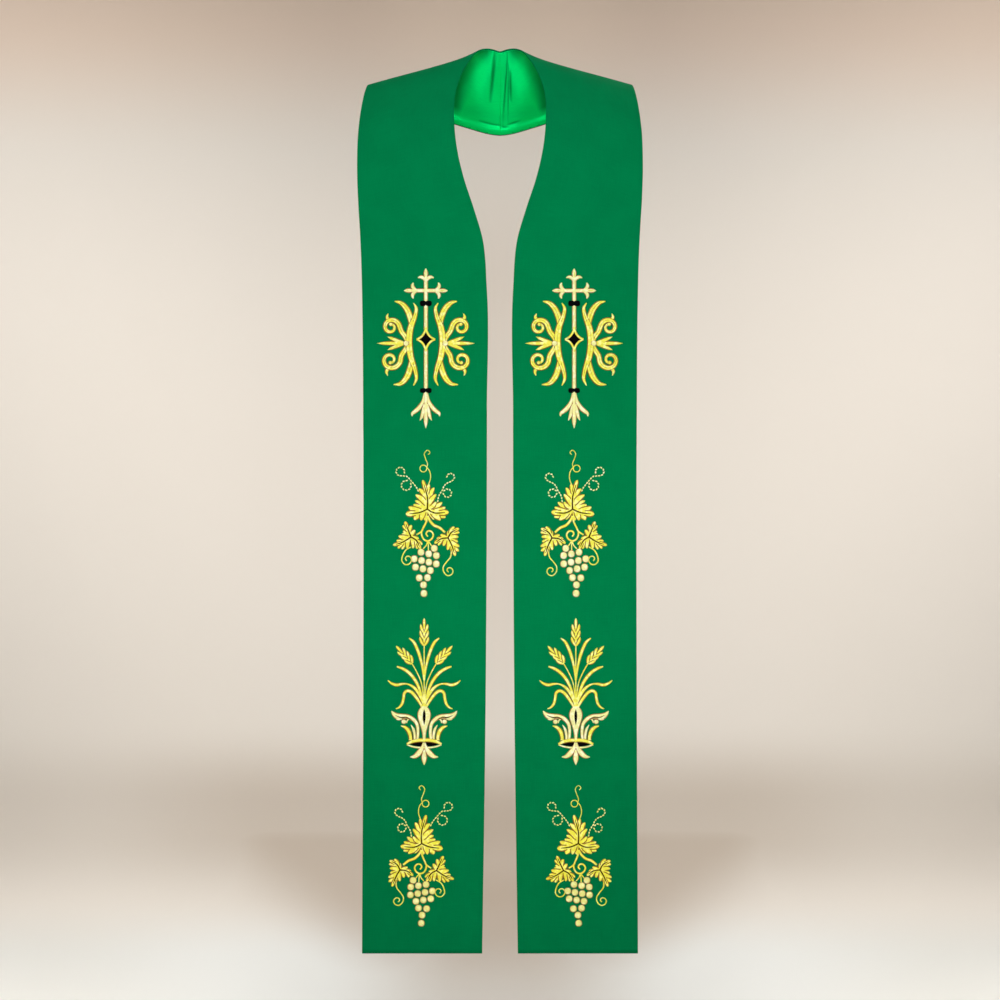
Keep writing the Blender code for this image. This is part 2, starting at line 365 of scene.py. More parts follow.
CLOTH_STEPS = ((45 * MM, 0.75 * MM), (390 * MM, 3.0 * MM), (None, 6.0 * MM))  # until, step
FACE_COLUMNS, LINING_COLUMNS = 48, 96
SEAM_WIDTH = 106.0  # the band's at the centre back, in millimetres
FOLD_POINTS = 5  # round a folded edge
SEAM_CORD, SEAM_STITCH = 0.22 * MM, 2.6  # the cord's radius, and a stitch's length in millimetres
SLIP_PITCH, SLIP_LENGTH, SLIP_RADIUS, SLIP_INSET = 6.5 * MM, 2.4 * MM, 0.24 * MM, 2.6 * MM
SEAM_POINTS, CORD_SIDES, SLIP_SIDES = 120, 8, 6
CROWDED = 0.35  # how much closer together a sheet's columns lie towards its edges
# How far the face cloth is uneven, and the ditch of its seam: depths, a wave's length, half a width.
FACE_WAVE, FACE_WAVE_LENGTH, DITCH, DITCH_REACH = 0.5, 95.0, 0.7, 1.6
LINING_WAVE, LINING_WAVE_LENGTH = 0.35, 60.0

# The lining's creases at the centre back. Each runs between two places: millimetres to the right
# of the seam, and down from the neck edge as a share of the width.
Crease = namedtuple("Crease", "name right_a down_a right_b down_b half_width depth")
CREASES = (
    Crease("left_of_seam", -5.4, 0.03, -10.8, 0.6, 2.8, 1.5),
    Crease("seam_allowance", 8.8, 0.03, 2.6, 0.9, 1.5, 1.1),
    Crease("right_of_seam", 11.6, 0.26, 12.4, 0.6, 2.2, 1.2),
    Crease("allowance_edge", 9.6, 0.16, 9.2, 0.86, 1.2, 0.4),
    Crease("left_of_roll", -25.0, 0.862, 1.0, 0.872, 2.3, 0.35),
    Crease("right_of_roll", 9.0, 0.87, 24.0, 0.858, 2.3, 0.35),
    Crease("tuck", -0.5, 0.893, 9.5, 0.903, 2.4, 0.4),
)
PUFF, PUFF_AT, PUFF_REACH = 5.0, 21.0, 25.0  # the lining puffs out on both sides of the seam
PUFF_DOWN, PUFF_TALL = 0.52, 0.64  # shares of the width
EASE, EASE_REACH = 1.2, 60.0  # the lining's slack at the centre back
ROLL, ROLL_AT, ROLL_HALF_WIDTH, ROLL_FADES = 1.0, 0.945, 0.075, 160.0  # along its outer edge
FOLDS, FOLDS_FROM, FOLDS_FULL = 4.0, 110.0, 300.0  # the lining's long soft folds down the front
FOLDS_PITCH, FOLDS_SHORTER = 62.0, 0.3  # across the band, and their ratio of width to length
# The lining's painted shade:
SHADE_STARTS, SHADE_SLANTS, SHADE_ENDS = 14.0, 34.0, 54.0  # where it turns into the shoulders
SHADE_HELD, SHADE_GONE = 80.0, 190.0  # and how far along the band it stays dark
TOP_SHADE, TOP_SHADE_DOWN = 0.65, 0.23  # under the neck edge, beside the seam
TOP_SHADE_FROM, TOP_SHADE_FULL = 6.0, 18.0
LOW_SHADE, LOW_SHADE_AT, LOW_SHADE_REACH = 0.2, 0.79, 0.15  # over the roll


def away_from_edges(share):
    """0 on both edges of a band, and 1 over its middle."""
    return np.clip(8 * share * (1 - share), 0.0, 1.0)


def crease_shape(crease, right, share):
    """1 along a crease, falling to 0 beside it."""
    a = np.array([crease.right_a, crease.down_a * SEAM_WIDTH])
    b = np.array([crease.right_b, crease.down_b * SEAM_WIDTH])
    here = np.stack([right, share * SEAM_WIDTH], axis=-1)
    on = np.clip((here - a) @ (b - a) / ((b - a) @ (b - a)), 0.0, 1.0)
    off = np.linalg.norm(here - a - on[..., None] * (b - a), axis=-1) / crease.half_width
    return bump(off) * (0.35 + 0.65 * np.sin(np.pi * on))


def lining_relief(right, along, share):
    """How far the lining stands off the face cloth, in millimetres."""
    relief = PUFF * bump((along - PUFF_AT) / PUFF_REACH) * bump((share - PUFF_DOWN) / PUFF_TALL)
    relief = relief + EASE * bump(along / EASE_REACH) * away_from_edges(share)
    relief = relief + ROLL * bump((share - ROLL_AT) / ROLL_HALF_WIDTH) * bump(along / ROLL_FADES)
    for crease in CREASES:
        relief = relief - crease.depth * crease_shape(crease, right, share)
    return relief


def lining_painted_shade(right, along, share):
    """The lining's painted shade in its creases and where it turns into the shoulders, from 0 to 1.
    """
    starts = SHADE_STARTS + SHADE_SLANTS * share
    over_roll = np.clip(9.0 * (ROLL_AT - 0.04 - share), 0.0, 1.0)
    dark = (1.0 - fade(np.abs(right), starts, SHADE_ENDS)) * over_roll
    beside = 1.0 - fade(np.abs(right), TOP_SHADE_FROM, TOP_SHADE_FULL)
    dark = np.maximum(dark, TOP_SHADE * bump(share / TOP_SHADE_DOWN) * beside)
    dark = np.maximum(dark, LOW_SHADE * bump((share - LOW_SHADE_AT) / LOW_SHADE_REACH))
    dark = dark * fade(along, SHADE_HELD, SHADE_GONE)
    for crease in CREASES:
        # painted shade along the creases
        dark = np.maximum(dark, 0.95 * crease_shape(crease, right, share))
    return dark


def ripple(right, across, seed, wavelength):
    """Smooth unevenness, from -1 to 1, at places in millimetres."""
    out = np.empty(right.shape)
    flat = out.ravel()
    for i, (u, v) in enumerate(zip(right.ravel() / wavelength, across.ravel() / wavelength)):
        flat[i] = noise.noise(Vector((u, v * 1.3, seed)))
    return out


def face_lift(right, along, share):
    """The face cloth's unevenness, and the ditch of its seam."""
    wave = ripple(along, share * SEAM_WIDTH, 1.0, FACE_WAVE_LENGTH) * FACE_WAVE
    return wave * bump((share - 0.5) * 1.2) - DITCH * bump(along / DITCH_REACH)


def lining_lift(right, along, share):
    """The lining only stands off towards the wearer, so its lift is never outwards."""
    run = along * np.sign(right)
    down = share * SEAM_WIDTH
    wave = LINING_WAVE * np.abs(ripple(run, down, 7.0, LINING_WAVE_LENGTH))
    folds = FOLDS * np.maximum(0.5 + ripple(FOLDS_SHORTER * run, down, 12.0, FOLDS_PITCH), 0.0)
    folds = folds * (1.0 - fade(along, FOLDS_FROM, FOLDS_FULL)) * away_from_edges(share)
    return -np.maximum(lining_relief(right, along, share) + wave + folds, 0.0)


def cloth_places(length):
    places = [0.0]
    for until, step in CLOTH_STEPS:
        until = length if until is None else until
        count = max(1, round((until - places[-1]) / step))
        places.extend(np.linspace(places[-1], until, count + 1)[1:])
    return np.array(places)


def fold(radius):
    """Half a round edge, as (in from the edge, down from the outer side)."""
    angles = np.linspace(np.pi / 2, -np.pi / 2, FOLD_POINTS + 2)[1:-1]
    return radius * (1 - np.cos(angles)), radius * (1 - np.sin(angles))


def sheet_mesh(name, band, side, depth, wall, set_back, columns, lift, hollow=None):
    """One layer of cloth as a closed shell with folded edges. lift(right, along, share) gives how
    far each place stands off, outwards, in millimetres; hollow gives its painted shade, from 0 to 1."""
    distances = cloth_places(band.length - set_back)
    width = band.widths(distances)
    margin = set_back / width
    spread = (1 - np.cos(np.linspace(0.0, np.pi, columns))) / 2
    spread = CROWDED * spread + (1 - CROWDED) * np.linspace(0.0, 1.0, columns)
    turn_in, turn_down = fold(wall / 2)
    inset = wall / 2 / width
    body = inset[:, None] + spread[None, :] * (1 - 2 * inset[:, None])
    edge_in = turn_in[None, :] / width[:, None]
    share = np.hstack([body, 1 - edge_in, body[:, ::-1], edge_in[:, ::-1]])
    down = np.concatenate([np.zeros(columns), turn_down, np.full(columns, wall), turn_down[::-1]])
    share = margin[:, None] + share * (1 - 2 * margin[:, None])
    along = np.repeat(distances[:, None] / MM, share.shape[1], axis=1)
    points = band.points(distances, share)
    right = side * points[..., 0] / MM
    raised = lift(right, along, share) * MM
    points += band.normals(distances, share) * (raised - depth - down[None, :])[..., None]
    points[..., 0] = np.maximum(points[..., 0], 0.0) + SEAM_GAP / 2
    points[..., 0] *= side
    # the third entry of weave is the lining's painted shade
    dark = 0 * along if hollow is None else hollow(right, along, share)
    weave = np.stack([along, share * width[:, None] / MM, dark], axis=-1)
    return ring_mesh(name, points[None], weave, side < 0)


def ring_faces(count, size):
    """The faces of a closed shell through rings of points, capped at both ends."""
    i, k = np.meshgrid(np.arange(count - 1), np.arange(size), indexing="ij")
    n = (k + 1) % size
    quads = np.stack([i * size + k, (i + 1) * size + k, (i + 1) * size + n, i * size + n], axis=-1)
    faces = quads.reshape(-1, 4).tolist()
    faces.append(list(range(size)))
    faces.append([(count - 1) * size + j for j in range(size)][::-1])
    return faces


def ring_mesh(name, shells, weave, flip=False):
    """Closed shells of cloth or thread, as points (shells, rings, points, 3)."""
    number, count, size = shells.shape[:3]
    one, faces = ring_faces(count, size), []
    for start in range(0, number * count * size, count * size):
        faces.extend([corner + start for corner in face] for face in one)
    if flip:
        faces = [face[::-1] for face in faces]
    return make_mesh(name, shells.reshape(-1, 3), faces, {"weave": weave.reshape(-1, 3)})


def seam_mesh(name, band, depth, lift):
    """The cord of stitches down the centre back seam, half sunk between the two halves."""
    share = np.linspace(0.01, 0.99, SEAM_POINTS)[None, :]
    normal = band.normals(np.zeros(1), share)
    raised = lift(0 * share, 0 * share, share) * MM
    line = (band.points(np.zeros(1), share) + normal * (raised - depth)[..., None])[0]
    run = share[0] * band.widths(np.zeros(1)) / MM
    radius = SEAM_CORD * (1 + 0.25 * np.sin(run * 2 * np.pi / SEAM_STITCH))
    angles = circle(CORD_SIDES)
    out = np.sin(angles)[None, :] * radius[:, None]
    rings = line[:, None] + normal[0][:, None] * out[..., None]
    rings[..., 0] += np.cos(angles)[None, :] * radius[:, None]
    weave = np.stack([0 * out, np.repeat(run[:, None], CORD_SIDES, axis=1), 0 * out], axis=-1)
    return ring_mesh(name, rings[None], weave)


def slip_mesh(name, band, side, depth, lift):
    """The small stitches that hold the lining to the turned edges and the hem of the face cloth."""
    end = band.length - LINING_SET_BACK - SLIP_INSET
    hem_width = band.widths(np.array([end]))[0]
    reach = SLIP_LENGTH * np.array([-0.5, -0.3, 0.3, 0.5])
    down = np.arange(10 * MM, end, SLIP_PITCH)[:, None] + reach
    inset = SLIP_INSET / band.widths(down.ravel()).reshape(down.shape)
    across = np.arange(2 * SLIP_PITCH, hem_width - SLIP_PITCH, SLIP_PITCH)[:, None]
    across = (across + reach) / hem_width
    along = np.vstack([down, down, np.full(across.shape, end)])
    share = np.vstack([inset, 1 - inset, across])
    flat_along, flat_share = along.ravel(), share.reshape(-1, 1)
    points = band.points(flat_along, flat_share)
    normals = band.normals(flat_along, flat_share)
    raised = lift(side * points[..., 0] / MM, flat_along[:, None] / MM, flat_share) * MM
    points = (points + normals * (raised - depth)[..., None]).reshape(along.shape + (3,))
    normals = normals.reshape(points.shape)
    beside = np.cross(normals, unit(points[:, -1:] - points[:, :1]))
    angles = circle(SLIP_SIDES)[:, None]
    radius = SLIP_RADIUS * np.array([0.4, 1.0, 1.0, 0.4])[:, None, None]
    ring = np.cos(angles) * beside[:, :, None] + np.sin(angles) * normals[:, :, None]
    shells = points[:, :, None] + radius * ring
    shells[..., 0] *= side
    place = np.stack([along, share * hem_width, 0 * along], axis=-1) / MM
    weave = np.repeat(place[:, :, None], SLIP_SIDES, axis=2)
    return ring_mesh(name, shells, weave, side > 0)


def make_mesh(name, points, faces, attributes):
    mesh = bpy.data.meshes.new(name)
    mesh.from_pydata(points.tolist(), [], faces)
    for key, values in attributes.items():
        layer = mesh.attributes.new(key, "FLOAT_VECTOR", "POINT")
        layer.data.foreach_set("vector", np.ascontiguousarray(values, dtype=np.float32).ravel())
    mesh.shade_smooth()
    mesh.update()
    return mesh


def add_object(name, data):
    added = bpy.data.objects.new(name, data)
    bpy.context.scene.collection.objects.link(added)
    return added


def add_piece(mesh, material):
    mesh.materials.append(material)
    piece = add_object(mesh.name, mesh)
    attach(piece, "root")
    return piece


# ---------------------------------------------------------------- threads and stitches

# Ornaments are drawn in millimetres: u to the right, v up, and height off the cloth.
STITCH_STEP = 0.9
EMBEDDED = -0.25  # the back of a stitch, just inside the cloth
FULL_OUTLINE = 2.8  # rows narrower than this half width have a thinner outline
FULL_HEIGHT, LEAST_FULLNESS = 1.6, 0.35  # and those narrower than this lie lower
THINNEST = 0.14
CROWN_POWER = 3.2  # how square a row's section is
GROOVE = 0.85  # how far in from an outline two strands' groove counts as
PATCH_OUTLINE = 1.4  # a patch's outline is this much thinner
NEVER = 100.0  # past the end of a row
DOT_PITCH, DOT_LENGTH = 3.7, 1.45  # the length is from a dot's middle
DOT = ((0, 0.3), (0.35, 0.8), (0.65, 0.8), (1, 0.3))


def smooth(points, step=STITCH_STEP):
    """A smooth curve through a few points."""
    points = np.array(points, dtype=float)
    padded = np.vstack([2 * points[0] - points[1], points, 2 * points[-1] - points[-2]])
    out = []
    for p0, p1, p2, p3 in zip(padded, padded[1:], padded[2:], padded[3:]):
        d1, d2, d3 = (max(np.linalg.norm(b - a), 1e-6) ** 0.5
                      for a, b in ((p0, p1), (p1, p2), (p2, p3)))
        m1 = p2 - p1 + d2 * ((p1 - p0) / d1 - (p2 - p0) / (d1 + d2))
        m2 = p2 - p1 + d2 * ((p3 - p2) / d3 - (p3 - p1) / (d2 + d3))
        count = max(3, int(np.linalg.norm(p2 - p1) / step * 1.5))
        t = np.linspace(0.0, 1.0, count, endpoint=False)[:, None]
        hermite = (2 * t**3 - 3 * t**2 + 1) * p1 + (t**3 - 2 * t**2 + t) * m1
        out.append(hermite + (3 * t**2 - 2 * t**3) * p2 + (t**3 - t**2) * m2)
    out.append(points[-1:])
    return np.vstack(out)


def volute(centre, start_radius, end_radius, start, sweep):
    """A spiral round a centre. Angles in degrees; a positive sweep turns anticlockwise."""
    count = int(abs(sweep) / 12) + 2
    angles = np.radians(start + np.linspace(0.0, sweep, count))
    radii = start_radius * (end_radius / start_radius) ** np.linspace(0.0, 1.0, count)
    return np.stack([centre[0] + radii * np.cos(angles), centre[1] + radii * np.sin(angles)], axis=-1)


def evenly(path, step):
    """The path's points at equal steps, and their distances. A third column goes along."""
    path = np.asarray(path, dtype=float)
    run = np.concatenate([[0.0], np.cumsum(np.linalg.norm(np.diff(path[:, :2], axis=0), axis=1))])
    count = max(6, int(round(run[-1] / step)) + 1)
    at = np.linspace(0.0, run[-1], count)
    return np.stack([np.interp(at, run, column) for column in path.T], axis=-1), at


def place_on(path, share):
    """A point part of the way along a path, and the direction there."""
    points, at = evenly(path, 0.5)
    run, near = share * at[-1], 0.6
    here, ahead, behind = (np.array([np.interp(place, at, points[:, k]) for k in (0, 1)])
                           for place in (run, min(run + near, at[-1]), max(run - near, 0)))
    return here, unit(ahead - behind)


def turned(direction, degrees):
    angle = np.radians(degrees)
    u, v = direction
    return np.array([u * np.cos(angle) - v * np.sin(angle), u * np.sin(angle) + v * np.cos(angle)])


class Thread:
    """All the stitches of one colour in one ornament."""

    def __init__(self):
        self.points, self.faces, self.stitch = [], [], []
        self.count = 0

    def add(self, points, faces, stitch):
        self.faces.extend([tuple(corner + self.count for corner in face) for face in faces])
        self.points.append(points)
        self.stitch.append(stitch)
        self.count += len(points)

    def row(self, path, widths=None, height=0.8, lift=0.0, strands=1, columns=7,
            step=STITCH_STEP, outlined=0.0, rim=1.0):
        """A row of satin stitch along a path. widths lists (share of the length, half width), and
        without it the path's third column is the half width. Two strands lie side by side with a
        groove and an outline between them. The outline starts where the row is outlined from, and
        rim is how wide it is beside the usual one."""
        path, at = evenly(path, step)
        share = at / at[-1]
        half = path[:, 2] if widths is None else np.interp(share, *zip(*widths))
        half = np.maximum(half, THINNEST)
        path = path[:, :2]
        tangent = unit(np.gradient(path, axis=0))
        left = np.stack([-tangent[:, 1], tangent[:, 0]], axis=-1)
        columns = columns if strands == 1 else 2 * columns - 3
        c = np.linspace(-1.0, 1.0, columns)
        local = c if strands == 1 else 2 * np.abs(c) - 1
        crown = np.sqrt(np.clip(1 - np.abs(local) ** CROWN_POWER, 0.0, 1.0))
        fullness = np.clip(half / FULL_HEIGHT, LEAST_FULLNESS, 1.0) * height
        heights = lift + fullness[:, None] * crown[None, :]
        top = path[:, None] + left[:, None] * (half[:, None] * c[None, :])[..., None]
        inset = half[:, None] * (1 - np.abs(c))[None, :]
        if strands == 2:
            inset = np.minimum(inset, 1.2 * half[:, None] * np.abs(c)[None, :] + GROOVE)
        inset = inset / rim * np.maximum(1.0, FULL_OUTLINE / half)[:, None] ** 1.5
        inset = inset + 3.0 * np.clip(1.0 - share / max(outlined, 1e-6), 0.0, 1.0)[:, None]
        size = columns + 2
        count = len(path)
        points = np.empty((count, size, 3))
        points[:, :columns, :2] = top
        points[:, :columns, 2] = heights
        points[:, columns, :2], points[:, columns + 1, :2] = top[:, -1], top[:, 0]
        points[:, columns:, 2] = EMBEDDED
        stitch = np.zeros((count, size, 3))
        stitch[..., 0] = at[:, None]
        stitch[:, :columns, 1] = half[:, None] * c[None, :]
        stitch[:, :columns, 2] = inset
        self.add(points.reshape(-1, 3), ring_faces(count, size), stitch.reshape(-1, 3))

    def patch(self, centre, outline, height=0.9, lift=0.0, rings=5, spokes=24, grain=90.0, power=2.0):
        """A filled shape round a centre. outline gives the radius at an angle in radians."""
        angles = circle(spokes)
        radii = np.array([outline(angle) for angle in angles])
        rows, stitch = [], []
        grain_u, grain_v = np.cos(np.radians(grain)), np.sin(np.radians(grain))
        for r in np.linspace(1.0, 1.0 / rings, rings):
            u, v = radii * r * np.cos(angles), radii * r * np.sin(angles)
            h = lift + height * np.sqrt(max(0.0, 1 - r**power)) + 0 * u
            rows.append(np.stack([centre[0] + u, centre[1] + v, h], axis=-1))
            inset = radii * (1 - r) * PATCH_OUTLINE
            run, reach = u * grain_u + v * grain_v, v * grain_u - u * grain_v
            stitch.append(np.stack([run, reach, inset], axis=-1))
        base = rows[0].copy()
        base[:, 2] = EMBEDDED
        points = np.vstack([base] + rows + [[[centre[0], centre[1], lift + height]]])
        stitch = np.vstack([stitch[0]] + stitch + [[[0.0, 0.0, radii.mean()]]])
        faces = []
        for ring in range(rings):
            for k in range(spokes):
                n = (k + 1) % spokes
                a, b = ring * spokes, (ring + 1) * spokes
                faces.append((a + k, a + n, b + n, b + k))
        tip = len(points) - 1
        last = rings * spokes
        faces.extend((last + k, last + (k + 1) % spokes, tip) for k in range(spokes))
        faces.append(tuple(range(spokes))[::-1])
        self.add(points, faces, stitch)

    def dots(self, path):
        """Short stitches in a dotted line."""
        points, _ = evenly(path, DOT_PITCH)
        for here, ahead in zip(points, np.vstack([points[1:], 2 * points[-1] - points[-2]])):
            reach = unit(ahead - here) * DOT_LENGTH
            self.row([here - reach, here, here + reach], DOT, columns=5, step=DOT_LENGTH / 3,
                     outlined=NEVER)


def ellipse(a, b, power=2.0):
    """Radius of a superellipse: power under 1 gives a star with hollow sides."""
    def radius(angle):
        return (abs(np.cos(angle) / a) ** power + abs(np.sin(angle) / b) ** power) ** (-1 / power)

    return radius


Ornament = namedtuple("Ornament", "gold cream bronze black")


def new_ornament():
    return Ornament(Thread(), Thread(), Thread(), Thread())


PETAL = ((0, 0.35), (0.3, 0.85), (0.55, 1.0), (0.8, 0.7), (1, 0.0))
FINGER = ((0, 0.45), (0.3, 0.88), (0.62, 0.95), (0.86, 0.66), (0.96, 0.3), (1, 0.05))
TIP = ((0, 0.5), (0.3, 0.85), (0.62, 1.0), (0.86, 0.82), (0.96, 0.45), (1, 0.1))
GRAIN = ((0, 0.5), (0.25, 0.9), (0.5, 1.0), (0.78, 0.75), (1, 0.0))


def scaled(profile, half_width):
    return tuple((share, width * half_width) for share, width in profile)


def stroke(thread, places, s=1, **form):
    """A row of satin stitch through places (u, v, half width), on side s."""
    thread.row(smooth(np.array(places) * (s, 1, 1)), **form)


# ---------------------------------------------------------------- the cross ornament


def fleur(o, collar, direction):
    """The end of an arm of the cross: two horns that curl out from its collar, and a ribbed petal."""
    collar, direction = np.array(collar, dtype=float), np.array(direction, dtype=float)
    side = turned(direction, 90)

    def path(places, s):
        return [(*(collar + direction * ahead + side * s * out), half) for ahead, out, half in places]

    for s in (-1, 1):
        horn = ((2, 0.8, 1.8), (4.8, 3.2, 2.5), (5.8, 6.2, 2.1), (4.8, 9.6, 0.6))
        stroke(o.cream, path(horn, s))
    petal = ((0, 0, 2.3), (6, 0, 2.2), (10.2, 0, 2.9), (13.4, 0, 2.1), (16.1, 0, 0.2))
    stroke(o.cream, path(petal, 1), height=0.9, lift=0.15)
    rib = ((6, 0, 0.2), (9.8, 0, 0.6), (12.8, 0, 0.2))
    stroke(o.gold, path(rib, 1), height=0.2, lift=1.1, columns=5)


def cross_ornament():
    """A cross on a tall staff with ties, a star and a leafy foot, between mirrored scrolls."""
    o = new_ornament()
    staff, bar, tie, low_tie = 2.55, 58.4, 43.2, -61.4
    for low, high in ((12, tie), (tie, 72), (low_tie - 6, -12)):
        o.cream.row([(0, low), (0, (low + high) / 2), (0, high)], ((0, staff), (1, staff)), 0.9)
    o.cream.row([(-13, bar), (0, bar), (13, bar)], ((0, 2.5), (1, 2.5)), 0.9, 0.12)
    fleur(o, (0, 69), (0, 1))
    for s in (-1, 1):
        fleur(o, (s * 10.2, bar), (s, 0))
        o.black.patch((s * 3.3, tie), ellipse(3.9, 3.4, 3), 1.1, 0.75, grain=0)
        o.black.patch((s * 3.2, low_tie), ellipse(3.8, 3, 3.4), 1.1, 0.75, grain=0)
    star(o)
    foot(o, low_tie - 4.6)
    for s in (-1, 1):
        scrollwork(o, s)
    return o


def star(o):
    """A four-pointed star: a black core between four hollow strokes."""
    o.black.patch((0, 0), ellipse(7.4, 9.2, 0.8), 0.35, 0.9, spokes=32, grain=0)
    for across in (-1, 1):
        for up in (-1, 1):
            arc = ((0.2, 14.8, 0.9), (1.2, 9.4, 1.5), (3.9, 4.7, 1.5), (7.4, 1.7, 1.5),
                   (11.2, 0.3, 0.8))
            stroke(o.gold, [(u, v * up, half) for u, v, half in arc], across, lift=0.75)


def foot(o, top):
    """The leafy foot, hanging down: two long leaves, two short ones and a middle one."""
    outer = ((1.2, 2, 1.3), (3.2, -8, 2.2), (8.4, -16.5, 2.9), (13, -20.6, 2.7),
             (16, -23, 2), (16.5, -26.4, 0.6))
    inner = ((1.4, -12, 1.6), (3.4, -20, 2.2), (4.6, -26, 2.1), (7, -31.4, 0.4))
    middle = ((0, 4, 2.6), (0, -8, 2.3), (0, -22, 2.6), (0, -33, 2.6),
              (0, -40.6, 0.3))
    for s, leaf_line, height, lift in (
            (-1, outer, 0.8, 0), (-1, inner, 0.8, 0.1),
            (1, outer, 0.8, 0), (1, inner, 0.8, 0.1), (1, middle, 0.9, 0.3)):
        places = [(u, top + v, half) for u, v, half in leaf_line]
        stroke(o.cream, places, s, height=height, lift=lift)


def scrollwork(o, s):
    """One side's scrolls: a bow beside the staff, two horns, two volutes and a small palmette."""
    bow = ((14.8, 43.6, 0.5), (11.6, 37.6, 2.1), (13, 28, 3), (18.2, 14, 4.1),
           (20.2, -2, 4.4), (18.2, -20, 4.1), (12.8, -37, 3), (11.4, -47.4, 2.2),
           (14.8, -55.6, 0.5))
    stroke(o.gold, bow, s, height=1, lift=0.35, strands=2)
    upper = ((17, 12, 2.4), (18.7, 26, 3.9), (23.4, 37, 3.8), (30, 43.6, 2.9),
             (37.4, 45.6, 0.6))
    lower = ((17, -20, 2.4), (18.7, -34, 3.9), (23, -45.5, 3.9), (30, -53, 3),
             (38.6, -54.4, 0.6))
    for horn in (upper, lower):
        stroke(o.gold, horn, s, height=0.9, lift=0.1, strands=2)
    for sign, centre, radius in ((1, (42, 14.5), 10.6), (-1, (42.6, -24.5), 12.4)):
        curl = volute(centre, radius, 3.6, 180, -sign * 450)
        stem = [(22.5, -4.5), (25, -4.5 + sign * 8), (29.2, centre[1] - sign * 5)]
        route = smooth(np.vstack([stem, curl[1:]]) * (s, 1))
        widths = ((0, 1.8), (0.12, 3.5), (0.4, 3.5), (0.75, 2.6), (1, 1.6))
        o.gold.row(route, widths, 0.9, 0.12, strands=2)
        o.gold.patch(curl[-1] * (s, 1), ellipse(2.6, 2.6), 1.2, 0.3, spokes=16)
        tip = ((centre[0] + 1, centre[1] + sign * radius * 0.72, 2.4),
               (centre[0] + 4.5, centre[1] + sign * radius * 1.12, 2.2),
               (centre[0] + 3.2, centre[1] + sign * radius * 1.55, 0.4))
        stroke(o.gold, tip, s)
    for rise, reach in ((8, 22), (-8, 22), (0, 34.5)):
        petal = [(s * (24 + reach * share), -4.8 + rise * share**1.3) for share in (0, 0.5, 1)]
        o.gold.row(petal, scaled(PETAL, 3), 0.9, 0.25 if rise == 0 else 0.1)
    o.cream.patch((s * 23.6, -4.8), ellipse(3.6, 3.6), 1.3, 0.9, spokes=20)


# ---------------------------------------------------------------- the vine

# A leaf is drawn by its veins, which share a root, and its fingers of stitches, which leave a vein
# part of the way along it and end at the leaf's edge.
Vein = namedtuple("Vein", "bend_u bend_v tip_u tip_v half_width fingers")
Finger = namedtuple("Finger", "start tip_u tip_v half_width")
Leaf = namedtuple("Leaf", "root veins")
BIG_LEAF = Leaf((0, 0), (
    Vein(0.2, 13, -5.6, 34.8, 3, (
        Finger(0, -14.7, 10, 3.5), Finger(0.1, -14.1, 17.2, 4.1), Finger(0.34, -10.2, 24.4, 4),
        Finger(0.06, 10.6, 17.9, 3.8), Finger(0.26, 8, 25.7, 3.9), Finger(0.46, 2.2, 30.2, 3.5))),
    Vein(-8.9, -4, -25.8, -6, 4.3, (
        Finger(0, -16.6, 5.5, 4.6), Finger(0.22, -22.5, 2.6, 4.6), Finger(0, -2.4, -14, 3.5),
        Finger(0.1, -7.6, -13.6, 4.1), Finger(0.34, -15.4, -13.1, 4.5))),
    Vein(8, -4.5, 25.6, -3.6, 4.1, (
        Finger(0, 10.6, 8.6, 3.4), Finger(0, 17.8, 8.1, 4.1), Finger(0.2, 21.7, 2.3, 4),
        Finger(0, 8, -12.7, 3.9), Finger(0.16, 15.9, -13.3, 4.6), Finger(0.36, 22, -10, 4.5))),
))
LEFT_LEAF = Leaf((-19.6, -33.5), (
    Vein(-23.4, -24, -26.8, -14.9, 2.7, (
        Finger(0, -29.2, -26.3, 3.4), Finger(0.32, -29.8, -19.7, 3.2), Finger(0, -14.8, -25.1, 3.4),
        Finger(0.3, -19, -19.1, 3.3), Finger(0, -30.6, -29.6, 2.8))),
    Vein(-29.2, -39.5, -41.2, -43.4, 2.7, (
        Finger(0.06, -34.6, -32.3, 3.9), Finger(0.38, -37, -37.7, 3.3),
        Finger(0.08, -24, -47.4, 3.5), Finger(0.2, -30.4, -48.5, 3.4),
        Finger(0.42, -35.2, -47.3, 3.2))),
    Vein(-13.2, -37.6, -8.2, -47.9, 2.7, (
        Finger(0, -10, -35.3, 3.5), Finger(0.34, -5.8, -42.5, 3.4), Finger(0, -17.2, -47.3, 3.4),
        Finger(0.3, -12.4, -47.9, 3.2))),
))
RIGHT_LEAF = Leaf((24.8, -34.7), (
    Vein(28.8, -28, 38, -23.3, 2.7, (
        Finger(0, 25.4, -25.7, 3.3), Finger(0.2, 32, -20.9, 4), Finger(0, 37.4, -33.5, 3.5),
        Finger(0.32, 38.6, -28.1, 3.3))),
    Vein(16.6, -35.6, 8.6, -41.3, 2.7, (
        Finger(0, 15.8, -30.5, 3.4), Finger(0.34, 11.2, -35.4, 2.9), Finger(0, 19.4, -44.3, 3.4),
        Finger(0.34, 13.4, -43.7, 3.2))),
    Vein(28.6, -41.9, 33.6, -56.3, 2.7, (
        Finger(0, 36.8, -38.9, 3.4), Finger(0.14, 38.6, -44.9, 3.5), Finger(0.4, 38, -50.3, 3.2),
        Finger(0.06, 24.2, -49.1, 3.4), Finger(0.34, 29.6, -51.5, 3.2))),
))
LEAF_LAYER = 0.32  # neighbouring fingers lie on two layers, and a vein's own on a third
LEAF_RIM = 1.15  # a leaf's outlines are wider
FINGER_BEND = 0.1  # how far a finger swings out towards the vein's tip


